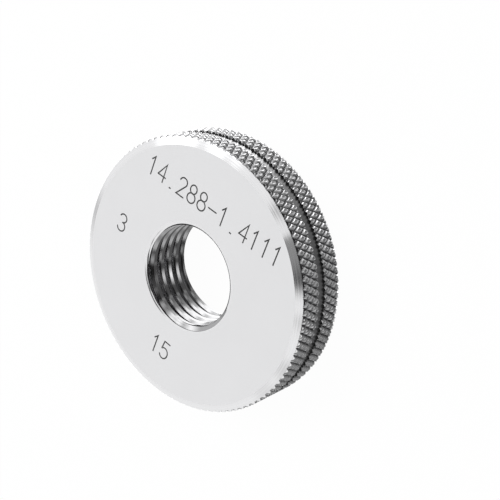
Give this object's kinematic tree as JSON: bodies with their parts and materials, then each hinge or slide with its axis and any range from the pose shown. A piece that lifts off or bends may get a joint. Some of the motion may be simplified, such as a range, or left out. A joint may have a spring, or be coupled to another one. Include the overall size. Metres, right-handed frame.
{
  "type": "thread ring gauge",
  "caption": "Flat steel ring with a threaded through bore and a diamond knurled rim parted by a smooth groove, used as the no-go limit gauge for an external screw thread.",
  "frame": {"origin": "middle of the back face, which the ring lies on", "axes": "+Z along the bore axis, towards the marked face"},
  "size_m": [0.036, 0.036, 0.008],
  "materials": {
    "ground_steel": "ground flat faces, bright turned chamfers, knurled rim"
  },
  "bodies": {
    "root": {"gauge_ring": "ground_steel"}
  },
  "joints": []
}
